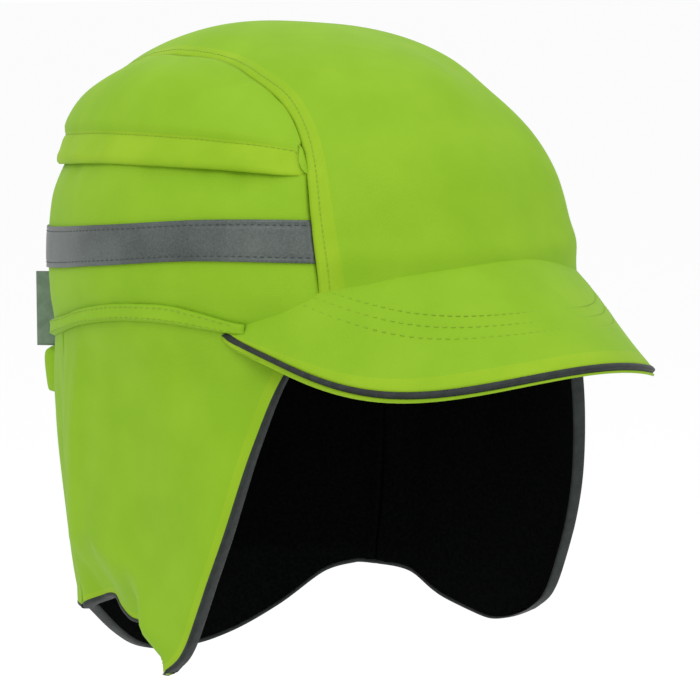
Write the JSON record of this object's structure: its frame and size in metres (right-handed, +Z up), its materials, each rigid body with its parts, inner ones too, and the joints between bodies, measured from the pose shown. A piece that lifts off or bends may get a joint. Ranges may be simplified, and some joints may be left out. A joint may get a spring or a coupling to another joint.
{
  "type": "winter bump cap",
  "caption": "Peaked high-visibility bump cap with a hidden protective shell, reflective tape and a fleece-lined ear and neck flap.",
  "frame": {"origin": "middle of the head opening, at the level of the wearer's brow band", "axes": "+Z up through the crown, the peak points along -Y, +X is the wearer's left"},
  "size_m": [0.1876, 0.2745, 0.256],
  "materials": {
    "outer_fabric": "coated woven polyester, matte",
    "fleece_lining": "brushed fleece",
    "edge_piping": "woven binding tape",
    "foam": "closed-cell foam",
    "reflective_tape": "retroreflective, satin",
    "peak_board": "moulded polyethylene",
    "shell": "moulded ABS, fine texture",
    "binding": "woven tape",
    "sweatband": "towelling",
    "elastic": "woven elastic",
    "label": "woven label"
  },
  "bodies": {
    "cap": {"centre_panel": "outer_fabric", "upper_side_panel_right": "outer_fabric", "upper_side_panel_left": "outer_fabric", "eave_fold_right": "outer_fabric", "eave_fold_left": "outer_fabric", "side_band_right": "outer_fabric", "side_band_left": "outer_fabric", "reflective_tape": "reflective_tape", "peak_cover_top": "outer_fabric", "peak_board": "peak_board", "peak_cover_under": "outer_fabric", "peak_piping": "edge_piping", "protective_shell": "shell", "crown_pad": "foam", "front_pad": "foam", "rear_pad": "foam", "side_pad_right": "foam", "side_pad_left": "foam", "crown_lining_centre": "fleece_lining", "crown_lining_right": "fleece_lining", "crown_lining_left": "fleece_lining", "edge_binding": "binding", "sweatband": "sweatband", "flap_side_right": "outer_fabric", "flap_side_left": "outer_fabric", "flap_lining_right": "fleece_lining", "flap_lining_left": "fleece_lining", "flap_piping_right": "edge_piping", "flap_piping_left": "edge_piping", "neck_panel": "outer_fabric", "neck_lining": "fleece_lining", "flap_welt": "outer_fabric", "nape_tunnel": "outer_fabric", "nape_elastic": "elastic"},
    "ear_lobe_right": {"ear_lobe_right": "outer_fabric", "ear_lobe_lining_right": "fleece_lining", "ear_lobe_piping_right": "edge_piping"},
    "ear_lobe_left": {"ear_lobe_left": "outer_fabric", "ear_lobe_lining_left": "fleece_lining", "ear_lobe_piping_left": "edge_piping"},
    "neck_hem": {"neck_hem": "outer_fabric", "neck_hem_lining": "fleece_lining", "neck_hem_piping": "edge_piping"},
    "label": {"rear_label": "label"}
  },
  "joints": [
    {"name": "ear_lobe_right_fold", "type": "hinge", "parent": "cap", "child": "ear_lobe_right", "pos_m": [-0.0943, -0.00665, -0.0775], "axis": [0, 0.8674, -0.4976], "range_deg": [0, 120]},
    {"name": "ear_lobe_left_fold", "type": "hinge", "parent": "cap", "child": "ear_lobe_left", "pos_m": [0.0943, -0.00665, -0.0775], "axis": [0, -0.8674, 0.4976], "range_deg": [0, 120]},
    {"name": "neck_hem_fold", "type": "hinge", "parent": "cap", "child": "neck_hem", "pos_m": [0, 0.0878, -0.112], "axis": [1, 0, 0], "range_deg": [0, 120]},
    {"name": "label_flip", "type": "hinge", "parent": "cap", "child": "label", "pos_m": [-0.05647, 0.09062, 0.0005], "axis": [0, 0, 1], "range_deg": [-35, 60]}
  ]
}
